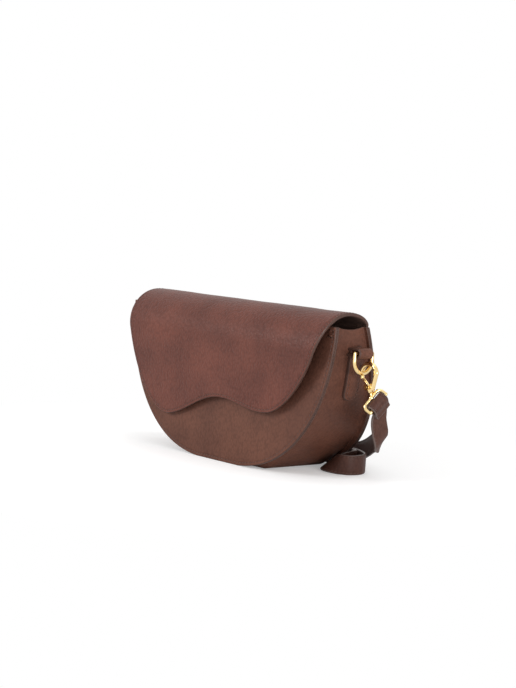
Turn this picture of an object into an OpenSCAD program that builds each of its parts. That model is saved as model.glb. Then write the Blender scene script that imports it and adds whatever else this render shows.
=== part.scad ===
// Half-moon saddle handbag with a waved flap, D-rings on leather tabs and a
// clip-on shoulder strap. Millimetres, +Z up, the front of the bag faces -Y.
// The origin is the middle of the flat foot that the bag rests on.

/* [Bag body] */
// Width of the bag at the rim, over the sewn lips
bag_w = 250; // [220:1:300]
// Height of the rim above the foot
rim_h = 120; // [110:1:140]
// Depth of the base, front to back
base_d = 84; // [76:1:96]
// Depth of the mouth, front to back
mouth_d = 36; // [32:1:42]
// How far the mouth stands forward of the middle of the base
mouth_lean = 20; // [14:1:22]
// Width of the flat stretch of the gusset that the bag rests on
foot_w = 24; // [20:1:30]
// Thickness of the panel and gusset leather
leather_t = 2.2; // [1.8:0.1:2.4]
// Width of the sewn lip that stands outside the gusset
lip_w = 3; // [2.6:0.1:3.4]
// Thickness of the gusset's turned flange inside the lip
flange_t = 1.6; // [1.2:0.1:1.8]
// How deep the gusset's top edge is hollowed
gusset_dip = 2; // [1:0.5:3]

/* [Lining] */
// Thickness of the lining
lining_t = 0.8; // [0.5:0.1:0.9]
// Space between the panel leather and its lining
backing_gap = 1; // [0.9:0.1:1.3]
// Thickness of the stiffening board in the base
board_t = 1.2; // [0.8:0.1:1.3]
// Length of the stiffening board, side to side
board_w = 120; // [90:1:140]
// Width of the slip pocket
pocket_w = 110; // [80:1:130]
// Height of the slip pocket
pocket_h = 62; // [45:1:68]

/* [Flap] */
// Half of the flap's width across the roll, from the middle to the right
flap_half_w = 121; // [105:1:121]
// The same from the middle to the left, where the flap stands further in
flap_left_w = 116; // [105:1:121]
// Thickness of the flap's leather
flap_leather_t = 1.8; // [1.4:0.1:2]
// Thickness of the flap's lining leather
flap_lining_t = 1; // [0.8:0.1:1.2]
// Rise of the roll's inside above the rim
roll_rise = 8.4; // [7:0.2:10]
// How far the roll stands in front of the rim
roll_out = 10.3; // [9.5:0.1:12]
// Gap between the flap and the front panel at the flap's lower end
flap_gap = 2.1; // [1.6:0.1:3]
// Distance of each lobe's lowest point from the middle of the flap
lobe_x = 62; // [52:1:68]
// Mean height of the lobes above the foot
lobe_z = 39.5; // [37:0.5:44]
// How much higher the right lobe hangs than the mean, and the left one lower
lobe_skew = 8.5; // [0:0.5:9]
// Height of the arch between the lobes
arch_h = 13; // [8:0.5:16]
// Height at which the flap's side edges start to draw in
side_z = 127; // [124:0.5:127]
// Height of the magnet above the foot
magnet_z = 74; // [68:1:78]
// Radius of the magnet
magnet_r = 7; // [6:0.5:7.5]
// Thickness of the magnet's socket
socket_t = 2.6; // [2:0.1:2.8]

/* [Tabs and rings] */
// Width of the tab
tab_w = 14; // [13:0.5:16]
// Thickness of the tab, two layers of leather
tab_t = 4; // [3.4:0.1:4.2]
// Place of the tab's middle, front to back
tab_y = -13.5; // [-15:0.5:-12]
// Height of the tab's rounded lower end
tab_low_z = 62.5; // [58:0.5:68]
// Height of the ring's bar
bar_z = 101; // [98:0.5:103]
// Distance of the ring's bar from the gusset
ring_out = 11; // [10:0.2:12]
// Radius of the ring's wire
ring_wire_r = 1.5; // [1.3:0.1:1.7]
// Bend radius of the ring
ring_bend_r = 9.3; // [9:0.1:10]
// Straight length of the ring's limbs
ring_limb = 5.8; // [5.4:0.1:6.2]
// Width of the leather loop that holds the ring
loop_w = 12; // [11:0.5:13]
// Thickness of the loop's leather
loop_t = 2.2; // [1.8:0.1:2.6]

/* [Snap hook] */
// Bend radius of the jaw
jaw_r = 7.8; // [7.5:0.1:8.4]
// Radius of the hook's wire
hook_wire_r = 1.8; // [1.6:0.1:1.9]
// Distance from the jaw's middle down to the end of the collar
hook_l = 15.8; // [15.6:0.1:16.6]
// Length of the swivel collar
collar_l = 4.2; // [4:0.1:4.4]
// Outer radius of the swivel collar
collar_r = 2.6; // [2.5:0.1:2.7]
// Radius of the gate
gate_r = 1.2; // [1.1:0.1:1.3]
// Radius of the gate's pin
pin_r = 0.65; // [0.5:0.05:0.8]
// Outward lean of the hook at rest, in degrees
hook_tilt = 12; // [8:1:15]
// How far the hook has slid along the ring, towards the back
hook_slide = 5; // [3:0.5:6]
// Radius of the wire of the swivel eye
eye_wire_r = 1.4; // [1.2:0.1:1.5]
// Distance of the eye's bar from the swivel
eye_out = 6.7; // [6.6:0.1:7.4]

/* [Strap] */
// Width of the strap
strap_w = 16; // [14:0.5:17]
// Thickness of the strap
strap_t = 2.2; // [1.8:0.1:2.2]
// Reach of the strap end from the eye's bar down to the first bend
drop_l = 30; // [28:0.5:32]
// Length of the strap end's outer layer, folded over the eye's bar and sewn down
sewn_l = 12.5; // [11:0.5:14]
// Spacing of the strap's runs where it lies folded behind the bag
run_gap = 8.1; // [7:0.1:8.5]
// Reach of the folded strap to the left of the middle
hank_left = 90; // [80:1:96]
// Reach of the folded strap to the right of the middle
hank_right = 8; // [0:1:12]

/* [Hidden] */
$fn = 48;

leather = "#6b4438";
flap_brown = "#754a3d";
strap_brown = "#4f332d";
lining_tan = "#8a705c";
board_grey = "#8c8a84";
gold = "#e0bd6a";

half_w = bag_w / 2;
half_d = base_d / 2;
foot = foot_w / 2;
arc_w = half_w - foot;
// Powers of the rounded outline: towards its sides and towards its base
side_power = 2.38;
base_power = 2;
// Length over which the sewn lip dies away towards the flat foot
sole_w = 50;
// Steps of each half of the outline, and of the flap's curves
outline_steps = 40;
flap_steps = 12;
// Powers of the flap's right and left side edges
right_power = 1.6;
left_power = 1.9;
// Clearance of pieces that slide past each other, and overrun of cuts
play = 0.3;
over = 1;
// Radial clearance of the swivel and of the gate on its pin
swivel_play = 0.08;
pin_play = 0.07;

front_slope = ((base_d - mouth_d) / 2 - mouth_lean) / rim_h;
back_slope = ((base_d - mouth_d) / 2 + mouth_lean) / rim_h;

// Outer face of the front and the back panel at a height
function front_y(z) = -half_d + front_slope * z;
function back_y(z) = half_d - back_slope * z;

// A point of the right half of the bag's outline, moved inwards by an inset. The
// gusset comes down level with the lip over the foot, so that the bag stands on it
function sole(x) = x < foot + sole_w ? (1 + cos(180 * (x - foot) / sole_w)) / 2 : 0;
function rim_point(a, inset) =
    let (nx = side_power * pow(cos(a), 2 - 2 / side_power) / arc_w,
        nz = base_power * pow(sin(a), 2 - 2 / base_power) / rim_h,
        n = norm([nx, nz]), x = foot + arc_w * pow(cos(a), 2 / side_power))
    [x - inset * nx / n, rim_h - rim_h * pow(sin(a), 2 / base_power)
        + inset * nz / n - min(inset, lip_w) * sole(x)];
function half_line(inset) =
    [for (i = [0:outline_steps]) rim_point(90 * i / outline_steps, inset)];
function flipped(points) =
    [for (i = [len(points) - 1:-1:0]) [-points[i].x, points[i].y]];
function backwards(points) = [for (i = [len(points) - 1:-1:0]) points[i]];
function u_line(inset) = concat(half_line(inset), flipped(half_line(inset)));
// Outer edge of the lip at a height
function lip_x(z) =
    foot + arc_w * pow(1 - pow((rim_h - z) / rim_h, base_power), 1 / side_power);

// Stretches an outline drawn in X and Z through the whole depth
module through() {
    rotate([90, 0, 0]) linear_extrude(height = 3 * base_d, center = true) children();
}
// Stretches a section drawn in Y and Z across the whole width
module across() {
    rotate([90, 0, 90]) linear_extrude(height = 2 * bag_w, center = true) children();
}
module panel_outline(inset) polygon(u_line(inset));
module strip_outline(inset, thick)
    polygon(concat(u_line(inset), backwards(u_line(inset + thick))));
// Section of a layer that lies from one depth to another behind the front face
module front_layer(d0, d1, z0, z1)
    polygon([[front_y(z0) + d0, z0], [front_y(z0) + d1, z0],
        [front_y(z1) + d1, z1], [front_y(z1) + d0, z1]]);
module back_layer(d0, d1, z0, z1)
    polygon([[back_y(z0) - d0, z0], [back_y(z0) - d1, z0],
        [back_y(z1) - d1, z1], [back_y(z1) - d0, z1]]);
// Section of the space between the two panels, a depth inside their faces
module between(d, z0, z1)
    polygon([[front_y(z0) + d, z0], [back_y(z0) - d, z0],
        [back_y(z1) - d, z1], [front_y(z1) + d, z1]]);

lining_inset = lip_w + leather_t + board_t + 2 * backing_gap / 5;
lined_depth = leather_t + backing_gap + lining_t;
lining_top = rim_h - gusset_dip - leather_t;

module front_panel() color(leather) intersection() {
    through() panel_outline(0);
    across() front_layer(0, leather_t, 0, rim_h);
}
module back_panel() color(leather) intersection() {
    through() panel_outline(0);
    across() back_layer(0, leather_t, 0, rim_h);
}
// The gusset is one strip between the panels, its edges turned out into the lips
module gusset() color(leather) {
    dip_r = (mouth_d * mouth_d / 4 + gusset_dip * gusset_dip) / (2 * gusset_dip);
    difference() {
        union() {
            intersection() {
                through() strip_outline(lip_w, leather_t);
                across() between(leather_t, 0, rim_h);
            }
            intersection() {
                through() strip_outline(0, lip_w + leather_t / 2);
                across() front_layer(leather_t, leather_t + flange_t, 0, rim_h);
            }
            intersection() {
                through() strip_outline(0, lip_w + leather_t / 2);
                across() back_layer(leather_t, leather_t + flange_t, 0, rim_h);
            }
        }
        translate([0, -mouth_lean, rim_h - gusset_dip + dip_r]) rotate([0, 90, 0])
            cylinder(r = dip_r, h = 2 * bag_w, center = true, $fn = 180);
    }
}
module front_lining() color(lining_tan) intersection() {
    through() panel_outline(lip_w + leather_t + play);
    across() front_layer(leather_t + backing_gap, lined_depth, 0, lining_top);
}
module back_lining() color(lining_tan) intersection() {
    through() panel_outline(lip_w + leather_t + play);
    across() back_layer(leather_t + backing_gap, lined_depth, 0, lining_top);
}
module gusset_lining() color(lining_tan) intersection() {
    through() strip_outline(lining_inset, lining_t);
    across() between(lined_depth, 0, lining_top);
}
module base_board() color(board_grey) intersection() {
    through() strip_outline(lip_w + leather_t, board_t);
    across() between(lined_depth, 0, rim_h / 2);
    cube([board_w, base_d, rim_h], center = true);
}
module slip_pocket() color(lining_tan) intersection() {
    through() translate([-pocket_w / 2, lining_top - pocket_h - lip_w])
        square([pocket_w, pocket_h]);
    across() back_layer(lined_depth, lined_depth + lining_t, 0, lining_top);
}

// The magnet: its frame has +Z out of the front panel's face
module on_front(z) {
    translate([0, front_y(z), z]) rotate([90 - atan(front_slope), 0, 0]) children();
}
module magnet_socket() color(gold) on_front(magnet_z) difference() {
    cylinder(r = magnet_r, h = socket_t);
    translate([0, 0, socket_t - magnet_r / 10]) cylinder(r = magnet_r / 2, h = over);
}
module socket_washer() color(gold) on_front(magnet_z)
    translate([0, 0, play / 3 - leather_t - backing_gap])
        cylinder(r = magnet_r + over, h = backing_gap - play / 3);

// The flap's section: up from the back rim, over the roll and down the front
flap_t = flap_lining_t + flap_leather_t;
roll_y = -mouth_lean;
roll_z = rim_h + roll_rise;
roll_r = roll_y - front_y(rim_h) + roll_out;
hinge_y = back_y(rim_h) + play + flap_t / 2;
hinge_z = rim_h + flap_t / 2;
flap_start = asin(flap_t / 2 / roll_rise) + 1;
flap_low_z = lobe_z - lobe_skew - arch_h / 2;
function flap_line(d) = concat(
    [for (i = [0:flap_steps]) let (a = flap_start + (90 - flap_start) * i / flap_steps)
        [roll_y + (back_y(rim_h) + play + d - roll_y) * cos(a),
            rim_h + (roll_rise + d) * sin(a)]],
    [for (i = [1:flap_steps]) let (a = 90 * i / flap_steps)
        [roll_y - (roll_r + d) * sin(a), roll_z - roll_r + (roll_r + d) * cos(a)]],
    [[front_y(flap_low_z) - flap_gap - d, flap_low_z]]);
module flap_section(d0, d1) polygon(concat(flap_line(d0), backwards(flap_line(d1))));
// The flap's front outline: waved lower edge, side edges drawn in towards the roll
function lobe_at(side) = lobe_z + side * lobe_skew;
function side_edge(side, reach, power) =
    [for (i = [0:flap_steps]) let (a = 90 * i / flap_steps)
        [side * (lobe_x + (reach - lobe_x) * pow(cos(a), 2 / power)),
            side_z - (side_z - lobe_at(side)) * pow(sin(a), 2 / power)]];
function wave_edge() = [for (i = [1:2 * flap_steps - 1]) let (s = 1 - i / flap_steps)
    [lobe_x * s, lobe_at(s) + arch_h / 2 * (1 + cos(180 * s))]];
module flap_outline() polygon(concat(
    [[-flap_left_w, roll_z + flap_t + over], [flap_half_w, roll_z + flap_t + over]],
    side_edge(1, flap_half_w, right_power), wave_edge(),
    backwards(side_edge(-1, flap_left_w, left_power))));
module flap_layer(d0, d1) intersection() {
    through() flap_outline();
    across() flap_section(d0, d1);
}
module flap_leather() color(flap_brown) flap_layer(flap_lining_t, flap_t);
module flap_lining() color(lining_tan) flap_layer(0, flap_lining_t);
module magnet_stud() color(gold) intersection() {
    on_front(magnet_z) translate([0, 0, socket_t + play]) cylinder(r = magnet_r, h = roll_out);
    across() polygon(concat(flap_line(0), [[half_d, flap_low_z], [half_d, roll_z]]));
}
// The flap's tail is sewn to the back panel, just under the fold
module flap_tail() color(flap_brown) intersection() {
    through() panel_outline(lip_w + leather_t);
    through() translate([-flap_left_w, 0]) square([flap_left_w + flap_half_w, rim_h]);
    across() back_layer(-flap_leather_t, -play / 10, rim_h - pocket_h / 3, rim_h - flap_t / 4);
}

// The ring's bar stands off the gusset and lies front to back
bar_x = lip_x(bar_z) - lip_w + ring_out;
loop_r = ring_wire_r + play + loop_t;
module lying(r, h) rotate([90, 0, 0]) cylinder(r = r, h = h, center = true);
// The tongue below the loop leans with the gusset and narrows into the loop
tab_lean = atan((back_slope - front_slope) / 2);
function tongue() = let (low = tab_low_z + tab_w / 2 - bar_z) concat(
    [[-loop_w / 2, loop_r], [-tab_w / 2, -loop_t]],
    [for (i = [0:flap_steps]) let (a = 180 * i / flap_steps)
        [-tab_w / 2 * cos(a), low - tab_w / 2 * sin(a)]],
    [[tab_w / 2, -loop_t], [loop_w / 2, loop_r]]);
module tab() color(leather) difference() {
    union() {
        intersection() {
            through() strip_outline(lip_w - tab_t, tab_t);
            across() translate([tab_y, bar_z]) rotate(tab_lean) polygon(tongue());
            translate([0, -base_d, 0]) cube([bag_w, 2 * base_d, 2 * rim_h]);
        }
        translate([bar_x, tab_y, bar_z]) lying(loop_r, loop_w);
        translate([bar_x - ring_out + leather_t, tab_y - loop_w / 2, bar_z])
            cube([ring_out - leather_t, loop_w, loop_r - play / 2]);
    }
    translate([bar_x, tab_y, bar_z]) lying(ring_wire_r + play, 2 * tab_w);
}
module d_ring() color(gold) translate([bar_x, tab_y, bar_z]) {
    lying(ring_wire_r, 2 * ring_bend_r);
    for (side = [-1, 1]) translate([0, side * ring_bend_r, 0]) {
        sphere(r = ring_wire_r);
        translate([0, 0, -ring_limb]) cylinder(r = ring_wire_r, h = ring_limb);
    }
    translate([0, 0, -ring_limb]) rotate([-90, 0, 90]) rotate_extrude(angle = 180)
        translate([ring_bend_r, 0]) circle(r = ring_wire_r);
}

// A round rod between two points, with round ends
module rod(p, q, r) {
    d = q - p;
    translate(p) rotate([0, acos(d.z / norm(d)), atan2(d.y, d.x)])
        rotate_extrude() intersection() {
            union() {
                square([r, norm(d)]);
                for (end = [0, norm(d)]) translate([0, end]) circle(r = r);
            }
            translate([0, -r]) square([r, norm(d) + 2 * r]);
        }
}
// The jaw's middle. The ring's wire lies inside the jaw's top, where the ring slopes
seat = jaw_r - hook_wire_r - ring_wire_r - 5 * play;
seat_share = 0.8;
hook_y = tab_y + hook_slide;
wire_z = bar_z - ring_limb - sqrt(ring_bend_r * ring_bend_r - hook_slide * hook_slide);
jaw_x = bar_x + seat * seat_share;
jaw_z = wire_z - seat * sqrt(1 - seat_share * seat_share);
// The nose ends this many degrees round the jaw from its outer side
nose_end = 190;
// Places in the hook's own plane, as shares of the jaw's bend radius
ear_share = -0.12;
spine_share = 0.28;
ear_r = pin_r + hook_wire_r;
hub_r = ear_r - 3 * play;
ear_z = collar_l - hook_l + hub_r + play;
ear_w = 1.5 * hook_wire_r;
module hook_frame() translate([jaw_x, hook_y, jaw_z]) rotate([0, -hook_tilt, 0]) children();
module hook() color(gold) hook_frame() difference() {
    union() {
        rotate([90, 0, 0]) rotate_extrude(angle = nose_end)
            translate([jaw_r, 0]) circle(r = hook_wire_r);
        translate([jaw_r * cos(nose_end), 0, jaw_r * sin(nose_end)])
            sphere(r = hook_wire_r);
        rod([jaw_r, 0, 0], [jaw_r * spine_share, 0, collar_l - hook_l], hook_wire_r);
        translate([0, 0, ball_z]) cylinder(r = collar_r, h = collar_l - hook_l - ball_z);
        translate([0, 0, ball_z]) intersection() {
            sphere(r = collar_r);
            translate([-2, -2, -4] * collar_r) cube(4 * collar_r);
        }
        for (side = [-1, 1]) translate([jaw_r * ear_share, side * ear_w, ear_z])
            lying(ear_r, ear_w - 2 * play);
    }
    translate([jaw_r * ear_share, 0, ear_z]) lying(pin_r + pin_play / 3, 4 * ear_w);
    translate([0, 0, -hook_l - over])
        cylinder(r = stud_r + swivel_play, h = over + hook_l + ball_z);
    translate([0, 0, ball_z - collar_r / 2])
        cylinder(r = head_r + swivel_play, h = collar_r / 2 + 2 * swivel_play);
}
module gate_pin() color(gold) hook_frame()
    translate([jaw_r * ear_share, 0, ear_z]) lying(pin_r, 3 * ear_w);
module gate() color(gold) hook_frame() {
    hub = [jaw_r * ear_share, 0, ear_z];
    nose = jaw_r * [cos(nose_end), 0, sin(nose_end)];
    // The tip points at the nose, so it leaves the nose from its first degree
    tip = nose + (hub - nose) * (hook_wire_r + gate_r + play) / norm(hub - nose);
    difference() {
        union() {
            translate(hub) lying(hub_r, ear_w);
            rod(hub, tip, gate_r);
        }
        translate(hub) lying(pin_r + pin_play, 2 * ear_w);
    }
}

// A vector turned about X, then Y, then Z
function about_x(v, a) = [v.x, v.y * cos(a) - v.z * sin(a), v.y * sin(a) + v.z * cos(a)];
function about_y(v, a) = [v.x * cos(a) + v.z * sin(a), v.y, v.z * cos(a) - v.x * sin(a)];
function about_z(v, a) = [v.x * cos(a) - v.y * sin(a), v.x * sin(a) + v.y * cos(a), v.z];
// Turns of the eye: +Y runs along its bar and +X from the swivel to the bar
eye_turns = [60.76, 33.2, 35.8];
// How far the strap end is swung round the eye's bar
fold_turn = -34.6;
function eye_way(v) =
    about_z(about_y(about_x(v, eye_turns.x), eye_turns.y), eye_turns.z);
function strap_way(v) = eye_way(about_y(v, fold_turn));
stud_l = hook_wire_r + eye_wire_r / 2;
stud_end = [jaw_x + (hook_l + stud_l) * sin(hook_tilt), hook_y,
    jaw_z - (hook_l + stud_l) * cos(hook_tilt)];
eye_bar = stud_end + eye_way([eye_out, 0, 0]);
// The collar ends in half a ball, high enough for the eye to hang askew below it
eye_lean = asin(abs(eye_way([0, 1, 0]) * [sin(hook_tilt), 0, -cos(hook_tilt)]));
ball_z = (collar_r + eye_wire_r + play) / cos(eye_lean) - hook_l - stud_l;
stud_r = 0.6 * eye_wire_r;
head_r = collar_r / 2;
eye_half = strap_w / 2 + eye_wire_r + play;
eye_bend = eye_out / 2;
module eye_frame() translate(eye_bar) rotate(eye_turns) children();
module swivel_eye() color(gold) {
    eye_frame() {
        rod([0, -eye_half, 0], [0, eye_half, 0], eye_wire_r);
        translate([-eye_out, 0, 0]) lying(eye_wire_r, 2 * (eye_half - eye_bend));
        for (side = [-1, 1]) translate([0, side * eye_half, 0])
            rotate([0, -90, 0]) cylinder(r = eye_wire_r, h = eye_out - eye_bend);
        translate([eye_bend - eye_out, eye_half - eye_bend, 0]) rotate([0, 0, 90])
            rotate_extrude(angle = 90) translate([eye_bend, 0]) circle(r = eye_wire_r);
        translate([eye_bend - eye_out, eye_bend - eye_half, 0]) rotate([0, 0, 180])
            rotate_extrude(angle = 90) translate([eye_bend, 0]) circle(r = eye_wire_r);
    }
    hook_frame() {
        // The boss that carries the swivel's stud
        translate([0, 0, -hook_l - stud_l]) sphere(r = 1.5 * eye_wire_r);
        translate([0, 0, -hook_l - stud_l])
            cylinder(r = stud_r, h = stud_l + hook_l + ball_z);
        translate([0, 0, ball_z - collar_r / 2 + swivel_play])
            cylinder(r = head_r, h = collar_r / 2);
    }
}

// The strap's route, from the right eye round the floor to the left eye. Every row
// has a place and the direction of the strap's width.
// Places below the eye's bar, as shares of the strap end's reach
drop_shares = [[-0.21, 0.278, -0.471, 0.1, 0.72, 0.68], [-0.252, 0.376, -0.701, 0.1, 0.74, 0.66]];
// Other places are shares of half the bag's width, half the base's depth and the
// rim's height over the resting strap. First the bends on the way to the floor
bend_shares = [
    [1.073, 0.209, 0.243, 0.1, 0.7, 0.7], [1.055, 0.281, 0.209, 0.12, 0.66, 0.74],
    [1.021, 0.376, 0.189, 0.12, 0.6, 0.79], [0.948, 0.595, 0.171, 0.08, 0.3, 0.95],
    [0.856, 0.821, 0.158, 0, 0.05, 1], [0.76, 1, 0.138, 0, 0, 1],
    [0.672, 1.155, 0.1, 0, 0, 1]];
// Down to the floor behind the bag, and into the folded runs
landing_shares = [
    [0.576, 1.321, 0.062, 0, 0, 1], [0.472, 1.476, 0.029, 0, 0, 1],
    [0.352, 1.602, 0.008, 0, 0, 1], [0.208, 1.681, 0.002, 0, 0, 1], [0, 1.69, 0, 0, 0, 1]];
// From the folded runs out to the right, round under the bag's end and back
loop_shares = [
    [0.432, 1.129, 0, 0, 0, 1], [0.56, 1.11, 0, 0, 0, 1], [0.648, 1.024, 0, 0, 0, 1],
    [0.72, 0.893, 0, 0, 0, 1], [0.768, 0.714, 0, 0, 0, 1], [0.782, 0.524, 0, 0, 0, 1],
    [0.765, 0.357, 0, 0, 0, 1], [0.724, 0.269, 0, 0, 0.1, 1],
    [0.668, 0.257, 0, 0, 0.35, 0.94], [0.608, 0.3, -0.005, 0.1, 0.6, 0.8],
    [0.562, 0.405, -0.004, 0.35, 0.45, 0.82], [0.549, 0.548, -0.003, 0.55, 0.1, 0.83],
    [0.57, 0.69, -0.001, 0.4, -0.3, 0.86], [0.618, 0.812, 0.001, 0.1, -0.2, 0.97],
    [0.618, 0.95, 0.001, 0, 0, 1], [0.568, 1.032, 0, 0, 0, 1], [0.496, 1.048, 0, 0, 0, 1],
    [0.24, 1.045, 0, 0, 0, 1], [-0.16, 1.045, 0.001, 0, 0, 1],
    [-0.416, 1.045, 0.008, 0, 0, 1], [-0.56, 1.062, 0.042, 0, 0, 1]];
route_steps = 3;
turn_steps = 6;
function placed(s) = [s[0] * half_w, s[1] * half_d, strap_w / 2 + s[2] * rim_h,
    s[3], s[4], s[5]];
function end_row(reach, drift) = concat(
    eye_bar - strap_way([strap_t / 2, 0, reach]) + drift * strap_t / 2 * [-1, -1, 0],
    strap_way([0, 1, 0]));
right_rows = concat([end_row(0, 0), end_row(drop_l / 5, 0), end_row(drop_l / 2.6, 1)],
    [for (s = drop_shares) concat(eye_bar + drop_l * [s[0], s[1], s[2]], [s[3], s[4], s[5]])],
    [for (s = bend_shares) placed(s)]);
left_rows = [for (i = [len(right_rows) - 1:-1:0]) let (r = right_rows[i])
    [-r[0], r[1], r[2], -r[3], r[4], r[5]]];
// One turn back of the folded strap, seen from above
function turn_back(x, run, side) = [for (i = [0:turn_steps]) let (a = 180 * i / turn_steps)
    [x + side * run_gap / 2 * sin(a),
        half_d * 1.69 - run_gap * (run + 0.5 - cos(a) / 2), strap_w / 2, 0, 0, 1]];
// A smooth curve through four rows, between the middle two
function eased(a, b, c, d, t) = (2 * b + (c - a) * t + (2 * a - 5 * b + 4 * c - d) * t * t
    + (3 * b - a - 3 * c + d) * t * t * t) / 2;
function smooth(rows) = let (n = len(rows) - 1) concat(
    [for (i = [0:n - 1], k = [0:route_steps - 1])
        eased(i == 0 ? 2 * rows[0] - rows[1] : rows[i - 1], rows[i], rows[i + 1],
            i == n - 1 ? 2 * rows[n] - rows[n - 1] : rows[i + 2], k / route_steps)],
    [rows[n]]);
strap_route = concat(
    smooth(concat(right_rows, [for (s = landing_shares) placed(s)])),
    turn_back(-hank_left, 0, -1), turn_back(hank_right, 1, 1),
    turn_back(-hank_left * 2 / 3, 2, -1),
    smooth(concat([for (s = loop_shares) placed(s)], left_rows)));
last_row = len(strap_route) - 1;
// The row where the strap end goes over into the long part of the strap
cut_row = 4 * route_steps;
function unit(v) = v / norm(v);
function place(k) = [strap_route[k][0], strap_route[k][1], strap_route[k][2]];
function along(k) = unit(place(min(k + 1, last_row)) - place(max(k - 1, 0)));
// The four corners of the strap at a row, from one depth of its thickness to another
function corners(k, d0, d1, shift) =
    let (t = along(k), lay = [strap_route[k][3], strap_route[k][4], strap_route[k][5]],
        side = unit(lay - (lay * t) * t), out = cross(side, -t), p = place(k) + shift * t)
    [for (c = [[-1, d0], [1, d0], [1, d1], [-1, d1]])
        p + side * c[0] * strap_w / 2 + out * c[1]];
module ribbon(k0, k1, d0, d1, gap = 0) {
    points = [for (k = [k0:k1]) each
        corners(k, d0, d1, k == k0 ? gap : k == k1 ? -gap : 0)];
    n = k1 - k0;
    sides = [for (k = [0:n - 1], j = [0:3]) let (a = 4 * k + j, b = 4 * k + (j + 1) % 4)
        each [[a, b + 4, b], [a, a + 4, b + 4]]];
    ends = [[0, 1, 2], [0, 2, 3], [4 * n, 4 * n + 2, 4 * n + 1], [4 * n, 4 * n + 3, 4 * n + 2]];
    polyhedron(points = points, faces = concat(sides, ends));
}
module strap() color(strap_brown)
    ribbon(cut_row, last_row - cut_row, -strap_t / 2, strap_t / 2, play);
module strap_end() color(strap_brown) {
    fold_w = strap_w - play;
    difference() {
        union() {
            ribbon(0, cut_row, -strap_t / 2, strap_t / 2);
            translate(eye_bar) rotate(eye_turns) rotate([0, fold_turn, 0]) {
                lying(eye_wire_r + play + strap_t, fold_w);
                translate([-strap_t / 2, -fold_w / 2, -sewn_l])
                    cube([1.5 * strap_t, fold_w, sewn_l]);
            }
        }
        translate(eye_bar) rotate(eye_turns) lying(eye_wire_r + play, 2 * strap_w);
    }
}
module on_left() mirror([1, 0, 0]) children();

front_panel();
back_panel();
gusset();
front_lining();
back_lining();
gusset_lining();
base_board();
slip_pocket();
magnet_socket();
socket_washer();
flap_tail();
tab();  // right_tab
on_left() tab();  // left_tab
strap();
flap_leather();
flap_lining();
magnet_stud();
d_ring();  // right_d_ring
on_left() d_ring();  // left_d_ring
strap_end();  // right_strap_end
on_left() strap_end();  // left_strap_end
swivel_eye();  // right_swivel_eye
on_left() swivel_eye();  // left_swivel_eye
hook();  // right_hook
on_left() hook();  // left_hook
gate();  // right_gate
on_left() gate();  // left_gate
gate_pin();  // right_gate_pin
on_left() gate_pin();  // left_gate_pin
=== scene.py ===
import math

import bmesh
import bpy
import numpy as np
from mathutils import Matrix, Vector, noise


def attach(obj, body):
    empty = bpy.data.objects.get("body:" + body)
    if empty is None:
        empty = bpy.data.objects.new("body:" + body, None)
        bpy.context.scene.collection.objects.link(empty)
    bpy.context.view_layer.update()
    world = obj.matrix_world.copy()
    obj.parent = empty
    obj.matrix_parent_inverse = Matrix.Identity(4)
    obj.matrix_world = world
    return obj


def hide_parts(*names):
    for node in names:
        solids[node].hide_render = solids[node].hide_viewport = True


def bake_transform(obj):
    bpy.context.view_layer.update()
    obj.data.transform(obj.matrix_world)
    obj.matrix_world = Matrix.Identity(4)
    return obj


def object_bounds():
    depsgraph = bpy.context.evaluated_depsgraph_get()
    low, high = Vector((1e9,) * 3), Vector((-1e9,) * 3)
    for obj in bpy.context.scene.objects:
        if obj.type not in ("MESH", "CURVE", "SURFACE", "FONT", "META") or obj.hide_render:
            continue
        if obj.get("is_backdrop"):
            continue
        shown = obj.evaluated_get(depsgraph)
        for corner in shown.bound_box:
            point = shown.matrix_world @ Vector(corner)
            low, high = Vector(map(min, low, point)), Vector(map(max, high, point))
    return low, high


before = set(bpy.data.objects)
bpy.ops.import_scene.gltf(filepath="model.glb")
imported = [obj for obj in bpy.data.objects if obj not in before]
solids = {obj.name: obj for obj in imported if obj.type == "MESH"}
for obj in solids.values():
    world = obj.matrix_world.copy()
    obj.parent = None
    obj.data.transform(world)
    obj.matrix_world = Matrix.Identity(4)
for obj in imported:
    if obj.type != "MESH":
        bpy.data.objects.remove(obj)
cad_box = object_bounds()

# The view: a camera about 1.35 m away, to the right of the bag's front
# and a little above it, on a lens of 86 mm, held a few degrees out of level.
TURN, TIP, ROLL = math.radians(48.5), math.radians(5.65), 0.062
toward = Vector((math.sin(TURN) * math.cos(TIP), -math.cos(TURN) * math.cos(TIP), math.sin(TIP)))
level = Vector((math.cos(TURN), math.sin(TURN), 0))
above = toward.cross(level)
across = level * math.cos(ROLL) + above * math.sin(ROLL)
upward = above * math.cos(ROLL) - level * math.sin(ROLL)
camera = bpy.data.objects.new("camera", bpy.data.cameras.new("camera"))
bpy.context.scene.collection.objects.link(camera)
camera.matrix_world = Matrix.Translation(Vector((0, 0, 0.075)) + toward * 1.35) @ Matrix(
    (across, upward, toward)
).transposed().to_4x4()
camera.data.lens = 85.81
camera.data.sensor_width = 36
camera.data.shift_x = -2.5 / 688
camera.data.shift_y = 23.5 / 688
bpy.context.scene.camera = camera
bpy.context.scene.view_settings.view_transform = "Standard"


# Colours are written as sRGB hex and turned to linear light here. One function adds a
# node to a material, with its settings, its values and what is linked to it.
def paint(code):
    parts = [int(code[i : i + 2], 16) / 255 for i in (0, 2, 4)]
    return [c / 12.92 if c <= 0.04045 else ((c + 0.055) / 1.055) ** 2.4 for c in parts] + [1]


def add(tree, kind, inputs=(), **settings):
    made = tree.nodes.new(kind)
    for name, value in settings.items():
        setattr(made, name, value)
    for name, value in dict(inputs).items():
        if isinstance(value, bpy.types.NodeSocket):
            tree.links.new(value, made.inputs[name])
        else:
            made.inputs[name].default_value = value
    return made


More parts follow.
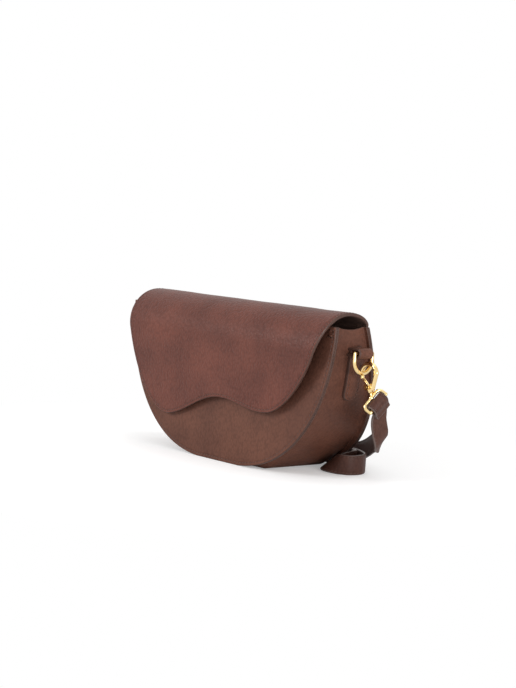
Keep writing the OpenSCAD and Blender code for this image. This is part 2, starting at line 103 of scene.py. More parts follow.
# A white paper sweep. Seen straight on it is paper white from 0.34 m out, and nearer the
# bag it is lifted a little, so that only the soft shadow close to the bag shows.
paper = bpy.data.materials.new("white paper sweep, matt")
paper.use_nodes = True
tree = paper.node_tree
tree.nodes.clear()
seen = add(tree, "ShaderNodeLightPath")
place = add(tree, "ShaderNodeTexCoord").outputs["Object"]
away = add(tree, "ShaderNodeVectorMath", {0: place}, operation="LENGTH")
far = add(
    tree,
    "ShaderNodeMapRange",
    {"Value": away.outputs["Value"], "From Min": 0.2, "From Max": 0.34},
)
sheet = add(tree, "ShaderNodeBsdfDiffuse", {"Color": (0.88, 0.88, 0.88, 1)})
matt = add(tree, "ShaderNodeBsdfDiffuse", {"Color": (0.8, 0.8, 0.8, 1)})
glow = add(tree, "ShaderNodeEmission", {"Color": (1, 1, 1, 1), "Strength": 0.3})
near = add(tree, "ShaderNodeAddShader", {0: matt.outputs[0], 1: glow.outputs[0]})
white = add(tree, "ShaderNodeEmission", {"Color": (1, 1, 1, 1), "Strength": 1})
fade = add(tree, "ShaderNodeMixShader", {"Fac": far.outputs["Result"]})
tree.links.new(near.outputs[0], fade.inputs[1])
tree.links.new(white.outputs[0], fade.inputs[2])
pick = add(tree, "ShaderNodeMixShader", {"Fac": seen.outputs["Is Camera Ray"]})
tree.links.new(sheet.outputs[0], pick.inputs[1])
tree.links.new(fade.outputs[0], pick.inputs[2])
add(tree, "ShaderNodeOutputMaterial", {"Surface": pick.outputs[0]})
floor_mesh = bpy.data.meshes.new("floor")
floor_mesh.from_pydata([(-6, -6, 0), (6, -6, 0), (6, 6, 0), (-6, 6, 0)], [], [(0, 1, 2, 3)])
floor_mesh.materials.append(paper)
floor = bpy.data.objects.new("floor", floor_mesh)
bpy.context.scene.collection.objects.link(floor)
floor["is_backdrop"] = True

# The room: pale walls all round, a small soft box in front to the left, a wide weak one
# above for the light on the roll, and one low down on the right.
room = bpy.data.worlds.new("pale studio")
room.use_nodes = True
tree = room.node_tree
tree.nodes.clear()
seen = add(tree, "ShaderNodeLightPath")
wall = add(tree, "ShaderNodeBackground", {"Color": (1, 1, 1, 1), "Strength": 0.72})
white = add(tree, "ShaderNodeBackground", {"Color": (1, 1, 1, 1), "Strength": 1})
mirrored = add(
    tree,
    "ShaderNodeMath",
    {0: seen.outputs["Is Camera Ray"], 1: seen.outputs["Is Glossy Ray"]},
    operation="MAXIMUM",
)
pick = add(tree, "ShaderNodeMixShader", {"Fac": mirrored.outputs[0]})
tree.links.new(wall.outputs[0], pick.inputs[1])
tree.links.new(white.outputs[0], pick.inputs[2])
add(tree, "ShaderNodeOutputWorld", {"Surface": pick.outputs[0]})
bpy.context.scene.world = room
for name, place, size, power in (
    ("front soft box", (-0.42, -1.1, 0.55), 0.45, 9),
    ("top soft box", (0.1, 0.25, 1.35), 0.9, 2.5),
    ("right soft box", (1.1, -0.2, 0.14), 0.5, 7.5),
):
    lamp = bpy.data.lights.new(name, "AREA")
    lamp.shape, lamp.size, lamp.energy = "SQUARE", size, power
    stand = bpy.data.objects.new(name, lamp)
    bpy.context.scene.collection.objects.link(stand)
    stand.location = place
    aim = Vector((0, 0, 0.06)) - Vector(place)
    stand.rotation_euler = aim.to_track_quat("-Z", "Y").to_euler()

# The body's leather: drum-tumbled calf, dyed dark brown and lightly finished, so that it
# has a fine even pebble and soft broad highlights; its creases are darkened as painted shade.
def pebbled_calf(name, deep, mid, gloss, pebble):
    made = bpy.data.materials.new(name)
    made.use_nodes = True
    tree = made.node_tree
    shader = tree.nodes["Principled BSDF"]
    place = add(tree, "ShaderNodeTexCoord").outputs["Object"]
    # Pebbles 1.7 mm across, a little longer down the hide than across it
    hide = add(tree, "ShaderNodeMapping", {"Vector": place, "Scale": (1, 1, 0.7)})
    wander = add(tree, "ShaderNodeTexNoise", {"Vector": place, "Scale": 1 / 0.006, "Detail": 2})
    warp = add(
        tree,
        "ShaderNodeVectorMath",
        {0: wander.outputs["Color"], "Scale": 0.0012},
        operation="SCALE",
    )
    bent = add(tree, "ShaderNodeVectorMath", {0: hide.outputs[0], 1: warp.outputs[0]})
    grain = add(
        tree,
        "ShaderNodeTexVoronoi",
        {"Vector": bent.outputs[0], "Scale": 1 / 0.0017, "Smoothness": 0.6},
        feature="SMOOTH_F1",
    )
    # Pores, a third of a pebble wide
    pores = add(tree, "ShaderNodeTexNoise", {"Vector": place, "Scale": 1 / 0.0006, "Detail": 3})
    # Cloudy dye, in patches about 40 mm wide
    cloud = add(tree, "ShaderNodeTexNoise", {"Vector": place, "Scale": 1 / 0.04, "Detail": 3})
    dye = add(
        tree,
        "ShaderNodeMapRange",
        {"Value": cloud.outputs["Fac"], "From Min": 0.35, "From Max": 0.65},
    )
    # A colour mix's sockets share names with the plain ones, so they go by number
    tint = add(tree, "ShaderNodeMix", data_type="RGBA")
    tree.links.new(dye.outputs["Result"], tint.inputs[0])
    tint.inputs[6].default_value = paint(deep)
    tint.inputs[7].default_value = paint(mid)
    # Painted shade: the colour is made up to a fifth darker in the creases between the pebbles
    crease_shade = add(
        tree,
        "ShaderNodeMapRange",
        {
            "Value": grain.outputs["Distance"],
            "From Min": 0.35,
            "From Max": 0.75,
            "To Min": 1,
            "To Max": 0.8,
        },
    )
    shade = add(
        tree,
        "ShaderNodeVectorMath",
        {0: tint.outputs[2], "Scale": crease_shade.outputs[0]},
        operation="SCALE",
    )
    tree.links.new(shade.outputs[0], shader.inputs["Base Color"])
    rub = add(
        tree,
        "ShaderNodeMapRange",
        {"Value": cloud.outputs["Fac"], "To Min": gloss - 0.05, "To Max": gloss + 0.07},
    )
    tree.links.new(rub.outputs["Result"], shader.inputs["Roughness"])
    fine = add(
        tree,
        "ShaderNodeBump",
        {"Height": pores.outputs["Fac"], "Distance": 0.00006, "Strength": 0.35},
    )
    coarse = add(
        tree,
        "ShaderNodeBump",
        {
            "Height": grain.outputs["Distance"],
            "Distance": pebble,
            "Strength": 0.8,
            "Normal": fine.outputs[0],
        },
        invert=True,
    )
    tree.links.new(coarse.outputs[0], shader.inputs["Normal"])
    shader.inputs["IOR"].default_value = 1.48
    shader.inputs["Specular IOR Level"].default_value = 0.15
    return made


body_calf = pebbled_calf("tumbled calf, body", "56362b", "644033", 0.5, 0.0002)


# The cut edges are sanded, painted and burnished: a smooth satin bead, a little darker
# than the hide.
edge_paint = bpy.data.materials.new("burnished edge paint")
edge_paint.use_nodes = True
tree = edge_paint.node_tree
shader = tree.nodes["Principled BSDF"]
place = add(tree, "ShaderNodeTexCoord").outputs["Object"]
wobble = add(tree, "ShaderNodeTexNoise", {"Vector": place, "Scale": 1 / 0.004, "Detail": 2})
coat = add(tree, "ShaderNodeMix", {}, data_type="RGBA")
tree.links.new(wobble.outputs["Fac"], coat.inputs[0])
coat.inputs[6].default_value = paint("3e2a24")
coat.inputs[7].default_value = paint("523930")
tree.links.new(coat.outputs[2], shader.inputs["Base Color"])
bead = add(tree, "ShaderNodeBump", {"Height": wobble.outputs["Fac"], "Distance": 0.0001, "Strength": 0.4})
tree.links.new(bead.outputs[0], shader.inputs["Normal"])
shader.inputs["Roughness"].default_value = 0.38
shader.inputs["IOR"].default_value = 1.5
shader.inputs["Specular IOR Level"].default_value = 0.3

# The reverse of the leather and the thin lining leather: buffed, matt, no pebble.
flesh_side = bpy.data.materials.new("buffed lining leather")
flesh_side.use_nodes = True
tree = flesh_side.node_tree
shader = tree.nodes["Principled BSDF"]
place = add(tree, "ShaderNodeTexCoord").outputs["Object"]
nap = add(tree, "ShaderNodeTexNoise", {"Vector": place, "Scale": 1 / 0.0008, "Detail": 4})
soft = add(tree, "ShaderNodeMix", {}, data_type="RGBA")
tree.links.new(nap.outputs["Fac"], soft.inputs[0])
soft.inputs[6].default_value = paint("4a352d")
soft.inputs[7].default_value = paint("624a3f")
tree.links.new(soft.outputs[2], shader.inputs["Base Color"])
fuzz = add(tree, "ShaderNodeBump", {"Height": nap.outputs["Fac"], "Distance": 0.0001, "Strength": 0.5})
tree.links.new(fuzz.outputs[0], shader.inputs["Normal"])
shader.inputs["Roughness"].default_value = 0.8
shader.inputs["IOR"].default_value = 1.45

# Panels. Each is cut as a half-moon, 250 mm wide at the rim and 120 mm high, from hide
# 2.2 mm thick, and laid edge to edge on the gusset's turned flange. All lengths from here
# on are in millimetres until a mesh is made.
RIM, FOOT, ARC_W, LIP = 120.0, 12.0, 113.0, 3.0
HALF_W = FOOT + ARC_W
HALF_D = 42
HIDE = 2.2
# The panels lean: the front 1 mm and the back 11 mm in every 30 mm of height
LEAN_RISE, BACK_LEAN = 30, 11


def front_y(z):
    return -HALF_D + z / LEAN_RISE


def back_y(z):
    return HALF_D - z * BACK_LEAN / LEAN_RISE


def even(points, count):
    """The line through some points, cut into equal lengths"""
    points = np.asarray(points, float)
    run = np.r_[0, np.cumsum(np.linalg.norm(np.diff(points, axis=0), axis=1))]
    at = np.linspace(0, run[-1], count + 1)
    return np.stack([np.interp(at, run, points[:, k]) for k in range(points.shape[1])], 1)


def moon_line():
    """The half-moon from the right end of the rim round the foot to the left end"""
    a = np.radians(np.linspace(0, 90, 500))
    x = FOOT + ARC_W * np.cos(a) ** (2 / 2.38)
    z = RIM - RIM * np.sin(a)
    right = np.stack([x, z], 1)
    left = right[::-1] * (-1, 1)
    return np.vstack([right, left])


def inner_loop(loop, inset):
    """A closed outline moved inwards by an even distance, with mitred corners"""
    way = np.roll(loop, -1, axis=0) - loop
    way /= np.linalg.norm(way, axis=1)[:, None]
    side = np.stack([way[:, 1], -way[:, 0]], 1)
    before = np.roll(side, 1, axis=0)
    mitre = (side + before) / (1 + (side * before).sum(1))[:, None]
    return loop + mitre * inset


SETTLING_ROUNDS = 600


def filled(loop, wide, deep):
    """A grid inside a closed outline that starts at the top left and runs to the right"""
    top = loop[: wide + 1]
    right = loop[wide : wide + deep + 1]
    low = loop[wide + deep : 2 * wide + deep + 1][::-1]
    left = np.vstack([loop[2 * wide + deep :], loop[:1]])[::-1]
    u = np.linspace(0, 1, wide + 1)[:, None, None]
    v = np.linspace(0, 1, deep + 1)[None, :, None]
    grid = (1 - v) * top[:, None] + v * low[:, None] + (1 - u) * left[None] + u * right[None]
    grid -= (
        (1 - u) * (1 - v) * loop[0]
        + u * (1 - v) * loop[wide]
        + u * v * loop[wide + deep]
        + (1 - u) * v * loop[2 * wide + deep]
    )
    # Each inner place settles to the middle of its four neighbours, so that no cell folds
    for _ in range(SETTLING_ROUNDS):
        around = grid[:-2, 1:-1] + grid[2:, 1:-1] + grid[1:-1, :-2] + grid[1:-1, 2:]
        grid[1:-1, 1:-1] = around / 4
    return grid


def cut_piece(loop, wide, deep, insets):
    """Points, distances from the edge, faces and the border of a piece of flat leather"""
    count = len(loop)
    rings = [inner_loop(loop, d) for d in insets]
    grid = filled(rings[-1], wide, deep)
    points = np.vstack(rings + [grid[1:-1, 1:-1].reshape(-1, 2)])
    last = (len(insets) - 1) * count
    faces = []
    for r in range(len(insets) - 1):
        for k in range(count):
            n = (k + 1) % count
            faces.append((r * count + k, r * count + n, (r + 1) * count + n, (r + 1) * count + k))

    def index(i, j):
        if j == 0:
            return last + i
        if i == wide:
            return last + wide + j
        if j == deep:
            return last + wide + deep + (wide - i)
        if i == 0:
            return last + 2 * wide + deep + (deep - j)
        return last + count + (i - 1) * (deep - 1) + j - 1

    for i in range(wide):
        for j in range(deep):
            faces.append((index(i, j), index(i + 1, j), index(i + 1, j + 1), index(i, j + 1)))
    gap = np.full(len(points), float(insets[-1]))
    for r, d in enumerate(insets):
        gap[r * count : (r + 1) * count] = d
    inside = points[(last + count) :]
    # In batches, so that the table of distances stays small
    batch = 2000
    for start in range(0, len(inside), batch):
        part = inside[start : start + batch]
        near = np.linalg.norm(part[:, None] - loop[None, ::2], axis=2).min(1)
        gap[last + count + start : last + count + start + len(part)] = near
    return points, gap, faces, list(range(count))


def placed_piece(name, mesh):
    """A closed mesh with its faces turned outwards, put in the scene"""
    shell = bmesh.new()
    shell.from_mesh(mesh)
    bmesh.ops.recalc_face_normals(shell, faces=shell.faces)
    shell.to_mesh(mesh)
    shell.free()
    made = bpy.data.objects.new(name, mesh)
    bpy.context.scene.collection.objects.link(made)
    return made


def bead_edge(name, outer, inner, faces, border, bulge, materials):
    """A mesh of a piece of leather: its face, its reverse and the rounded painted edge"""
    outer, inner = np.asarray(outer, float), np.asarray(inner, float)
    across_from = {}
    for f in faces:
        for k in range(4):
            across_from[f[k], f[(k + 1) % 4]] = (f[(k + 2) % 4], f[(k + 3) % 4])
    outward = np.zeros((len(border), 3))
    for k, v in enumerate(border):
        w = border[(k + 1) % len(border)]
        far = across_from.get((v, w)) or across_from.get((w, v))
        away = (outer[v] + outer[w] - outer[far[0]] - outer[far[1]]) / 2
        along = outer[w] - outer[v]
        thick = outer[v] - inner[v]
        away -= along * (away @ along) / max(along @ along, 1e-12)
        away -= thick * (away @ thick) / max(thick @ thick, 1e-12)
        away /= max(np.linalg.norm(away), 1e-9)
        outward[k] += away
        outward[(k + 1) % len(border)] += away
    outward /= np.maximum(np.linalg.norm(outward, axis=1), 1e-9)[:, None]
    o, i = outer[border], inner[border]
    rows = [
        (o + i) / 2
        + (o - i) / 2 * math.cos(math.radians(a))
        + outward * bulge * math.sin(math.radians(a))
        for a in (30, 60, 90, 120, 150)
    ]
    count, rim = len(outer), len(border)
    points = np.vstack([outer, inner] + rows)
    polys = [tuple(f) for f in faces] + [tuple(v + count for v in f[::-1]) for f in faces]
    kinds = [0] * len(faces) + [2] * len(faces)
    lines = [list(border)]
    lines += [[2 * count + r * rim + k for k in range(rim)] for r in range(len(rows))]
    lines += [[v + count for v in border]]
    for a, b in zip(lines, lines[1:]):
        for k in range(rim):
            n = (k + 1) % rim
            polys.append((a[k], b[k], b[n], a[n]))
            kinds.append(1)
    mesh = bpy.data.meshes.new(name)
    mesh.from_pydata((points / 1000).tolist(), [], polys)
    for m in materials:
        mesh.materials.append(m)
    mesh.polygons.foreach_set("material_index", kinds)
    mesh.polygons.foreach_set("use_smooth", [True] * len(polys))
    return placed_piece(name, mesh)


def ripple(a, b, size, seed):
    """Slow unevenness of the hide, from -1 to 1"""
    return np.array([noise.noise(Vector((x / size, y / size, seed))) for x, y in zip(a, b)])


# Distances from the cut edge of the rings of points that carry the seam's groove
EDGE_RINGS = (0, 0.6, 1.2, 1.8, 2.3, 2.7, 3.2, 4.0, 5.4, 8)


def sewn_dip(gap, line=2.2, depth=0.3):
    """How far the face sinks along a line of stitches, and thins outside it"""
    return depth * np.exp(-(((gap - line) / 0.55) ** 2)) + 0.18 * np.clip(1 - gap / line, 0, 1)


outline = moon_line()
MOON_WIDE, MOON_DEEP = 110, 46
# Each side of the grid of points takes this share of its half of the outline
SIDE_SHARE = 0.52
turn = int(len(outline) * 0.5 * SIDE_SHARE)
moon = np.vstack(
    [
        even([(-HALF_W, RIM), (HALF_W, RIM)], MOON_WIDE)[:-1],
        even(outline[:turn], MOON_DEEP)[:-1],
        even(outline[turn - 1 : len(outline) - turn + 1], MOON_WIDE)[:-1],
        even(outline[len(outline) - turn :], MOON_DEEP)[:-1],
    ]
)
# The cut edge stays clear of the floor by its own bead
BEAD_CLEAR = 0.4
moon[:, 1] = np.maximum(moon[:, 1], BEAD_CLEAR)
points, gap, faces, border = cut_piece(moon, MOON_WIDE, MOON_DEEP, EDGE_RINGS)
x, z = points.T
crown = np.clip(gap / 30, 0, 1)
crown = crown * crown * (3 - 2 * crown)
for name, sheet_y, facing, swell, low, high, seed in (
    ("front_panel", front_y, -1, 0.8, 0, 130, 3.1),
    ("back_panel", back_y, 1, 2.6, 18, 96, 7.7),
):
    bowed = crown * np.clip((z - low) / 22, 0, 1) * np.clip((high - z) / 15, 0, 1)
    proud = swell * bowed + 0.25 * ripple(x, z, 45, seed) * bowed
    face = np.stack([x, sheet_y(z) + facing * (proud - sewn_dip(gap)), z], 1)
    reverse = np.stack([x, sheet_y(z) + facing * (proud - HIDE), z], 1)
    coats = [body_calf, edge_paint, flesh_side]
    panel = bead_edge(name + "_hide", face, reverse, faces, border, 0.35, coats)
    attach(panel, "bag")
    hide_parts(name)

# Gusset. One strip of the same hide, bent round the half-moon, its edges turned out into
# flanges that meet the panels 2.2 mm in; the free ends are hollowed by 2 mm and hemmed.
STATIONS = 260
rail = even(moon_line(), STATIONS)
rail_run = np.r_[0, np.cumsum(np.linalg.norm(np.diff(rail, axis=0), axis=1))]
ahead = np.gradient(rail, axis=0)
ahead /= np.linalg.norm(ahead, axis=1)[:, None]
rail_in = np.stack([ahead[:, 1], -ahead[:, 0]], 1)


def beside_rail(run, inset):
    """The place on the sewn outline after a length of it, moved into the bag"""
    run = min(max(run, 0), rail_run[-1])
    place = [np.interp(run, rail_run, rail[:, k]) for k in (0, 1)]
    way = [np.interp(run, rail_run, rail_in[:, k]) for k in (0, 1)]
    step = inset / math.hypot(*way)
    # Over the foot the lip dies away, so that the bag stands on the gusset
    worn = (1 + math.cos(math.pi * min(max((abs(place[0]) - FOOT) / 50, 0), 1))) / 2
    z = place[1] + way[1] * step - min(inset, LIP) * worn
    return place[0] + way[0] * step, min(max(z, 0.2), RIM)


# How far the hem's seam lies from the strip's free end
HEM = 5
# Where the strip has settled on the floor: flat as far as SOLE_FLAT from the middle,
# rising from there on, and on its own curve again at SOLE_END
SOLE_FLAT, SOLE_END, SOLE_LIFT, SOLE_RISE, SOLE_BLEND = 46, 76, 0.15, 0.118, 7


def on_gusset(share, part, depth=0.0):
    """The strip's outside at a share of its length and of its width between the bends"""
    sag = 2.0 * (1 - (2 * part - 1) ** 2)
    run = sag + (rail_run[-1] - 2 * sag) * share
    to_end = min(run, rail_run[-1] - run)
    swell = math.sin(math.pi * part) + 0.3 * noise.noise(Vector((run / 40, part * 2, 5.5)))
    lifted = swell * min(max(to_end / 25 + 0.25, 0), 1)
    # The hem's stitches pull the strip in
    lifted -= 0.25 * math.exp(-(((to_end - HEM) / 0.6) ** 2))
    x, z = beside_rail(run, LIP)
    lifted *= min(max(abs(x) / 30 - 0.6, 0), 1)
    x, z = beside_rail(run, LIP - lifted + depth)
    front, back = front_y(z) + 4.6, back_y(z) - 4.6
    settled = SOLE_LIFT + depth + SOLE_RISE * max(abs(x) - SOLE_FLAT, 0) ** 1.5
    from_lip = min(part, 1 - part) * (back - front)
    if abs(x) < SOLE_END:
        z += min(settled - z, 0) * (1 - (1 - min(from_lip / SOLE_BLEND, 1)) ** 2)
    return x, front + (back - front) * part, z


# The flange's section: how far in from the lip's edge, and how far round its bend
BEND_R = 0.8
flange = [(i, 0.0) for i in (0, 0.7, 1.4, 2.2)]
for a in (22, 45, 68, 90):
    a = math.radians(a)
    flange.append((2.2 + BEND_R * math.sin(a), BEND_R * (1 - math.cos(a))))
parts = [(1 - math.cos(math.pi * k / 20)) / 2 for k in range(1, 20)]
# The flange's outer and inner face, behind the panel's own face
FLANGE_OUT, FLANGE_IN = 3.8, 2.4
outer = []
inner = []
for station in range(STATIONS + 1):
    share = station / STATIONS
    run = rail_run[-1] * share
    near, far = [], []
    for inset, bend in flange:
        x, z = beside_rail(run, inset)
        near.append((x, front_y(z) + FLANGE_OUT + bend, z))
        far.append((x, back_y(z) - FLANGE_OUT - bend, z))
    outer.append(near + [on_gusset(share, part) for part in parts] + far[::-1])
    near, far = [], []
    for inset, bend in flange:
        x, z = beside_rail(run, inset if inset < 2.3 else inset + 2)
        near.append((x, front_y(z) + FLANGE_IN + bend, z))
        far.append((x, back_y(z) - FLANGE_IN - bend, z))
    inner.append(near + [on_gusset(share, part, 2.0) for part in parts] + far[::-1])
rows, columns = len(outer), len(outer[0])
quads = [
    (a * columns + b, (a + 1) * columns + b, (a + 1) * columns + b + 1, a * columns + b + 1)
    for a in range(rows - 1)
    for b in range(columns - 1)
]
rim = list(range(columns)) + [a * columns + columns - 1 for a in range(1, rows)]
rim += [(rows - 1) * columns + b for b in range(columns - 2, -1, -1)]
rim += [a * columns for a in range(rows - 2, 0, -1)]
gusset = bead_edge(
    "gusset_hide",
    np.array(outer).reshape(-1, 3),
    np.array(inner).reshape(-1, 3),
    quads,
    rim,
    0.3,
    [body_calf, edge_paint, flesh_side],
)
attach(gusset, "bag")
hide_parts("gusset")

# Seams of the body. Waxed polyester thread in the leather's brown, 8 stitches to the inch
# (3.2 mm apart), each one a little slanted and pulled into the hide.
thread = bpy.data.materials.new("waxed polyester thread")
thread.use_nodes = True
tree = thread.node_tree
shader = tree.nodes["Principled BSDF"]
place = add(tree, "ShaderNodeTexCoord").outputs["Object"]
# Plies 0.25 mm apart
ply = add(tree, "ShaderNodeTexNoise", {"Vector": place, "Scale": 1 / 0.00025, "Detail": 1})
twist = add(tree, "ShaderNodeMix", {}, data_type="RGBA")
tree.links.new(ply.outputs["Fac"], twist.inputs[0])
twist.inputs[6].default_value = paint("3c2620")
twist.inputs[7].default_value = paint("5d4036")
tree.links.new(twist.outputs[2], shader.inputs["Base Color"])
shader.inputs["Roughness"].default_value = 0.55


def stitches(name, line, normals, pitch=3.2, size=2.5, radius=0.3):
    """Stitches along a line of places in mm, lying flat on a surface with these normals"""
    # Each is three rings of six points between two end points, slanted by ten degrees
    line, normals = np.asarray(line, float), np.asarray(normals, float)
    run = np.r_[0, np.cumsum(np.linalg.norm(np.diff(line, axis=0), axis=1))]
    count = max(int(run[-1] / pitch), 1)
    points, polys = [], []
    for n in range(count):
        at = (n + 0.5) * run[-1] / count
        spot, up, tail, head = (
            np.array([np.interp(at + d, run, data[:, k]) for k in (0, 1, 2)])
            for data, d in ((line, 0), (normals, 0), (line, -size / 2), (line, size / 2))
        )
        way = head - tail
        way /= np.linalg.norm(way)
        up -= way * (up @ way)
        up /= np.linalg.norm(up)
        side = np.cross(up, way)
        way = way * 0.985 + side * 0.17
        side = np.cross(up, way)
        base = len(points)
        points.append(spot - way * size / 2 - up * radius * 0.6)
        for t, r in ((-0.36, 0.85), (0, 1), (0.36, 0.85)):
            for k in range(6):
                a = math.pi * k / 3
                spoke = side * math.cos(a) + up * math.sin(a) * 0.8
                points.append(spot + way * size * t + spoke * radius * r)
        points.append(spot + way * size / 2 - up * radius * 0.6)
        for k in range(6):
            j = (k + 1) % 6
            polys.append((base, base + 1 + j, base + 1 + k))
            for ring in (0, 6):
                a, b = base + 1 + ring + k, base + 1 + ring + j
                polys.append((a, b, b + 6, a + 6))
            polys.append((base + 19, base + 13 + k, base + 13 + j))
    mesh = bpy.data.meshes.new(name)
    mesh.from_pydata((np.array(points) / 1000).tolist(), [], polys)
    mesh.materials.append(thread)
    mesh.polygons.foreach_set("use_smooth", [True] * len(polys))
    return placed_piece(name, mesh)


seam = inner_loop(moon, 2.2)
seam = np.vstack([seam, seam[:1]])
for name, sheet_y, facing in (("front_seam", front_y, -1), ("back_seam", back_y, 1)):
    line = np.stack([seam[:, 0], sheet_y(seam[:, 1]) - facing * 0.15, seam[:, 1]], 1)
    sewn = stitches(name, line, np.tile([0.0, facing, 0.0], (len(line), 1)))
    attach(sewn, "bag")
for name, end in (("right_hem_seam", 0), ("left_hem_seam", 1)):
    step = HEM / rail_run[-1]
    share = step if end == 0 else 1 - step
    line = [on_gusset(share, part / 40, 0.22) for part in range(1, 40)]
    sewn = stitches(name, line, np.tile([1.0 - 2 * end, 0.0, 0.0], (len(line), 1)))
    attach(sewn, "bag")

# Tabs. A tongue 14 mm wide and 4 mm thick is sewn down on each end of the gusset and leans
# with it, and a 12 mm strip from behind it goes round the ring's bar.
TAB_Y, TAB_W, LOOP_W, BAR_X, BAR_Z = -13.5, 14.0, 14.4, 131.80, 101.0
LEAN = math.atan(1 / 6)


def gusset_x(z, inset):
    """How far out the seam's outline is at a height, moved in by an inset"""
    table = np.array([beside_rail(r, inset) for r in np.linspace(2, rail_run[-1] * 0.45, 160)])
    return np.interp(z, table[::-1, 1], table[::-1, 0])


def swept(name, rows, sides, profile, kinds, materials):
    """A strip pushed along a line: its middle, the way of its width, and its section"""
    rows, sides = np.asarray(rows, float), np.asarray(sides, float)
    ways = np.gradient(rows, axis=0)
    ways /= np.linalg.norm(ways, axis=1)[:, None]
    sides = sides - ways * (sides * ways).sum(1)[:, None]
    sides /= np.linalg.norm(sides, axis=1)[:, None]
    outs = np.cross(sides, -ways)
    count = len(profile)
    points = [r + s * a + o * b for r, s, o in zip(rows, sides, outs) for a, b in profile]
    polys, groups = [], []
    for n in range(len(rows) - 1):
        for k in range(count):
            j = (k + 1) % count
            a, b = n * count, (n + 1) * count
            polys.append((a + k, a + j, b + j, b + k))
            groups.append(kinds[k])
    for n in (0, len(rows) - 1):
        # The cut end, slightly rounded and painted like the sides
        mid = len(points)
        push = ways[n] * (0.35 if n else -0.35)
        ring = [points[n * count + k] - rows[n] for k in range(count)]
        points += [rows[n] + push + r * 0.97 for r in ring]
        for k in range(count):
            j = (k + 1) % count
            polys.append((n * count + k, n * count + j, mid + j, mid + k))
            groups.append(1)
        polys.append(tuple(mid + k for k in range(count)))
        groups.append(1)
    mesh = bpy.data.meshes.new(name)
    mesh.from_pydata((np.array(points) / 1000).tolist(), [], polys)
    for m in materials:
        mesh.materials.append(m)
    mesh.polygons.foreach_set("material_index", groups)
    mesh.polygons.foreach_set("use_smooth", [True] * len(polys))
    return placed_piece(name, mesh)


def flat_strip(width, thick):
    """The section of a strip with sewing grooves and painted round edges"""
    w, t = width / 2, thick / 2
    face = [(-w + 0.7, t - 0.05), (-w + 1.3, t), (-w + 1.7, t - 0.14), (-w + 2.1, t)]
    face += [(-w / 2, t + 0.06), (0, t + 0.1), (w / 2, t + 0.06)]
    face += [(w - 2.1, t), (w - 1.7, t - 0.14), (w - 1.3, t), (w - 0.7, t - 0.05)]
    edge = [(w - 0.25, t * 0.7), (w, t * 0.25), (w, -t * 0.25), (w - 0.25, -t * 0.7)]
    half = face + edge
    other = [(-a, -b) for a, b in half]
    kinds = [0] * (len(face) - 1) + [1] * (len(edge) + 1)
    return half + other, kinds * 2


# The tongue's outline, measured from the ring's bar along its own lean: half its width at
# heights below the bar, and the height at which its round end starts
TONGUE_SIDE = [(5, 3.9), (5.6, -1), (6.4, -9), (6.9, -18)]
TONGUE_LOW = -31.5
TONGUE_WIDE, TONGUE_DEEP = 16, 30
turn = np.radians(np.linspace(0, 180, 60))
tongue_right = TONGUE_SIDE + [(TAB_W / 2, TONGUE_LOW)]
tongue_left = [(-a, b) for a, b in tongue_right[::-1]]
tongue_end = np.stack([TAB_W / 2 * np.cos(turn), TONGUE_LOW - TAB_W / 2 * np.sin(turn)], 1)
tongue = np.vstack(
    [
        even([tongue_left[-1], tongue_right[0]], TONGUE_WIDE)[:-1],
        even(tongue_right, TONGUE_DEEP)[:-1],
        even(tongue_end, TONGUE_WIDE)[:-1],
        even(tongue_left, TONGUE_DEEP)[:-1],
    ]
)
TONGUE_RINGS = (0, 0.4, 0.9, 1.4, 1.9, 2.3, 2.8, 3.4)
points, gap, faces, border = cut_piece(tongue, TONGUE_WIDE, TONGUE_DEEP, TONGUE_RINGS)


def leaning(points):
    """Places of the tongue as depth and height on the bag"""
    a, b = points.T
    y = TAB_Y + a * math.cos(LEAN) - b * math.sin(LEAN)
    z = BAR_Z + a * math.sin(LEAN) + b * math.cos(LEAN)
    return y, z


strip, kinds = flat_strip(LOOP_W, HIDE)
# The strip comes out over the tongue, goes round the ring's bar and back in below it
LOOP_R = 2.95
loop = [(BAR_X - 14, 103.5), (BAR_X - 11, 103.7), (BAR_X - 6, 103.9), (BAR_X - 2, 103.95)]
for a in np.radians(np.arange(0, 181, 12)):
    loop.append((BAR_X + LOOP_R * math.sin(a), BAR_Z + LOOP_R * math.cos(a)))
loop += [(BAR_X - 2, 98.3), (BAR_X - 5, 98.9), (BAR_X - 8, 99.3), (BAR_X - 11, 99.3)]
# How far the seam lies in from the edge of the tabs and of the flap
SEAM_IN = 1.9
for side, sign in (("right", 1), ("left", -1)):
    dip = sewn_dip(gap, SEAM_IN, 0.25)
    y, z = leaning(points)
    puff = 0.35 * np.clip(gap / 4, 0, 1)
    face = np.stack([sign * (gusset_x(z, -0.9) + puff - dip), y, z], 1)
    reverse = np.stack([sign * gusset_x(z, 3.2), y, z], 1)
    coats = [body_calf, edge_paint, body_calf]
    tab = bead_edge(f"{side}_tab_tongue", face, reverse, faces, border, 0.5, coats)
    # The seam goes down one side, round the end and up the other
    y, z = leaning(inner_loop(tongue, SEAM_IN)[17:75])
    normal = np.tile([float(sign), 0.0, 0.0], (len(y), 1))
    line = np.stack([sign * (gusset_x(z, -0.9) + 0.05), y, z], 1)
    sewn = stitches(f"{side}_tab_seam", line, normal)
    rows = np.array([(sign * a, TAB_Y, b) for a, b in even(loop, 60)])
    depthwise = np.tile([0.0, 1, 0], (len(rows), 1))
    wrap = swept(f"{side}_tab_loop", rows, depthwise, strip, kinds, [body_calf, edge_paint])
    for piece in (tab, sewn, wrap):
        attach(piece, "bag")
    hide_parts(f"{side}_tab")

